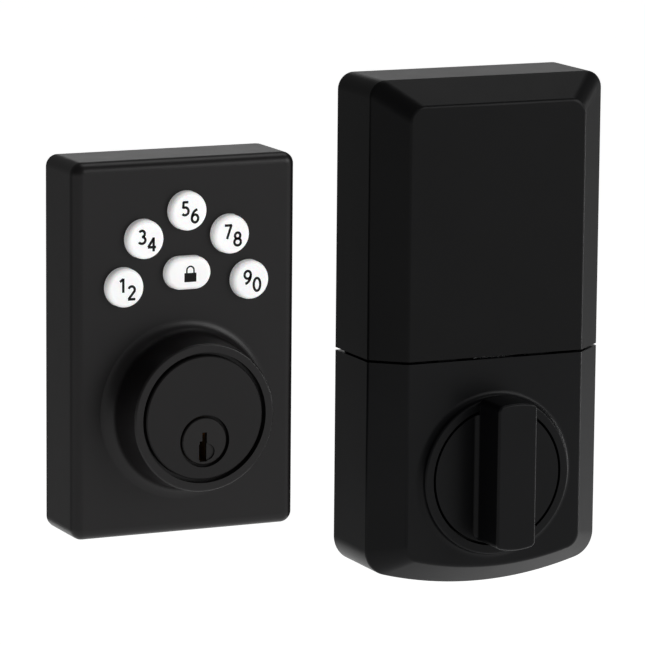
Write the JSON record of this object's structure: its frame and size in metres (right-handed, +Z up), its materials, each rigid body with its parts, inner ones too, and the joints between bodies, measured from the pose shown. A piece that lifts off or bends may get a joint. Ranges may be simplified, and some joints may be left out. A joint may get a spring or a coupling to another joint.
{
  "type": "electronic keypad deadbolt lock",
  "caption": "Electronic keypad deadbolt: outside unit with push buttons and key cylinder, inside unit with battery cover and thumb-turn, shown side by side.",
  "frame": {"origin": "the thumb-turn's axis where it meets the door plane, midway between the two through-bolt holes of the inside unit", "axes": "+Z up, +Y into the door, fronts face -Y; the outside unit stands to the left (-X) of the inside unit, both backs on y = 0"},
  "size_m": [0.1661, 0.0959, 0.1504],
  "materials": {
    "exterior_black": "satin black paint, fine smooth texture",
    "cylinder_black": "satin black face on a zinc cylinder",
    "plug_black": "satin black plug face, brass where the keyway is cut",
    "interior_black": "satin black paint",
    "cover_black": "satin black, painted to match the metal",
    "button_white": "soft white translucent keypad plastic",
    "zinc_steel": "zinc plated",
    "screw_steel": "zinc plated, turned",
    "brass": "turned brass",
    "spring_steel": "bright spring wire",
    "gasket_foam": "closed-cell foam rubber",
    "silicone": "translucent grey silicone",
    "board_green": "green solder mask",
    "chip_black": "moulded epoxy",
    "led_white": "clear over phosphor",
    "connector_white": "natural nylon",
    "chassis_plastic": "black glass-filled nylon",
    "gear_acetal": "natural acetal",
    "hub_zinc": "die-cast zinc",
    "motor_can": "plated motor can",
    "pinion_brass": "hobbed brass",
    "cell_wrap": "plain shrink sleeve",
    "contact_nickel": "nickel-plated spring strip"
  },
  "bodies": {
    "lock_housings": {"ext_escutcheon": "exterior_black", "cylinder_body": "cylinder_black", "lower_cover": "interior_black", "ext_back_plate": "zinc_steel", "mounting_plate": "zinc_steel", "mounting_posts": "zinc_steel", "ext_plate_screws": "screw_steel", "cylinder_screws": "screw_steel", "keypad_screws": "screw_steel", "chassis_screws": "screw_steel", "cover_screws": "screw_steel", "gearbox_screws": "screw_steel", "board_screws": "screw_steel", "holder_screws": "screw_steel", "gear_axle": "screw_steel", "driver_pins": "brass", "pin_chamber_cap": "brass", "hub_bushing": "brass", "pin_springs": "spring_steel", "ext_gasket": "gasket_foam", "keypad_membrane": "silicone", "keypad_board": "board_green", "control_board": "board_green", "board_chips": "chip_black", "position_switches": "chip_black", "program_switch": "chip_black", "keypad_leds": "led_white", "keypad_connector": "connector_white", "harness_socket": "connector_white", "chassis": "chassis_plastic", "gearbox_cover": "chassis_plastic", "battery_holder": "chassis_plastic", "motor": "motor_can", "battery_1": "cell_wrap", "battery_2": "cell_wrap", "battery_3": "cell_wrap", "battery_4": "cell_wrap", "battery_springs": "contact_nickel", "battery_plates": "contact_nickel"},
    "battery_cover": {"battery_cover": "cover_black"},
    "thumb_turn": {"turnpiece": "interior_black", "turnpiece_clip": "zinc_steel", "drive_hub": "hub_zinc", "main_gear": "gear_acetal"},
    "reduction": {"reduction_gear": "gear_acetal"},
    "motor_rotor": {"motor_pinion": "pinion_brass", "motor_shaft": "screw_steel"},
    "plug": {"key_plug": "plug_black", "key_pins": "brass", "tailpiece": "zinc_steel", "plug_clip": "zinc_steel"},
    "program_button": {"program_button": "connector_white"},
    "button_12": {"button_12": "button_white"},
    "button_34": {"button_34": "button_white"},
    "button_56": {"button_56": "button_white"},
    "button_78": {"button_78": "button_white"},
    "button_90": {"button_90": "button_white"},
    "button_lock": {"button_lock": "button_white"}
  },
  "joints": [
    {"name": "battery_cover_slide", "type": "slide", "parent": "lock_housings", "child": "battery_cover", "axis": [0, 0, 1], "range_m": [0, 0.085]},
    {"name": "thumb_turn_spin", "type": "hinge", "parent": "lock_housings", "child": "thumb_turn", "pos_m": [0, 0, 0], "axis": [0, 1, 0], "range_deg": [-90, 90]},
    {"name": "reduction_spin", "type": "hinge", "parent": "lock_housings", "child": "reduction", "pos_m": [-0.01311, 0, 0.01872], "axis": [0, 1, 0], "range_deg": [-340, 340]},
    {"name": "motor_spin", "type": "hinge", "parent": "lock_housings", "child": "motor_rotor", "pos_m": [0.00461, 0, 0.02624], "axis": [0, 1, 0], "range_deg": [-1020, 1020]},
    {"name": "key_plug_spin", "type": "hinge", "parent": "lock_housings", "child": "plug", "pos_m": [-0.0944, 0, 0.01825], "axis": [0, 1, 0], "range_deg": [-90, 90]},
    {"name": "program_button_press", "type": "slide", "parent": "lock_housings", "child": "program_button", "axis": [0, 1, 0], "range_m": [0, 0.0004], "stiffness_N_per_m": 2500, "springref_m": -0.0002},
    {"name": "button_12_press", "type": "slide", "parent": "lock_housings", "child": "button_12", "axis": [0, 1, 0], "range_m": [0, 0.0012], "stiffness_N_per_m": 1200, "springref_m": -0.0004},
    {"name": "button_34_press", "type": "slide", "parent": "lock_housings", "child": "button_34", "axis": [0, 1, 0], "range_m": [0, 0.0012], "stiffness_N_per_m": 1200, "springref_m": -0.0004},
    {"name": "button_56_press", "type": "slide", "parent": "lock_housings", "child": "button_56", "axis": [0, 1, 0], "range_m": [0, 0.0012], "stiffness_N_per_m": 1200, "springref_m": -0.0004},
    {"name": "button_78_press", "type": "slide", "parent": "lock_housings", "child": "button_78", "axis": [0, 1, 0], "range_m": [0, 0.0012], "stiffness_N_per_m": 1200, "springref_m": -0.0004},
    {"name": "button_90_press", "type": "slide", "parent": "lock_housings", "child": "button_90", "axis": [0, 1, 0], "range_m": [0, 0.0012], "stiffness_N_per_m": 1200, "springref_m": -0.0004},
    {"name": "button_lock_press", "type": "slide", "parent": "lock_housings", "child": "button_lock", "axis": [0, 1, 0], "range_m": [0, 0.0012], "stiffness_N_per_m": 1200, "springref_m": -0.0004}
  ],
  "couplings": [
    {"joint": "reduction_spin", "follows": "thumb_turn_spin", "ratio": -3.75},
    {"joint": "motor_spin", "follows": "thumb_turn_spin", "ratio": 11.25}
  ]
}
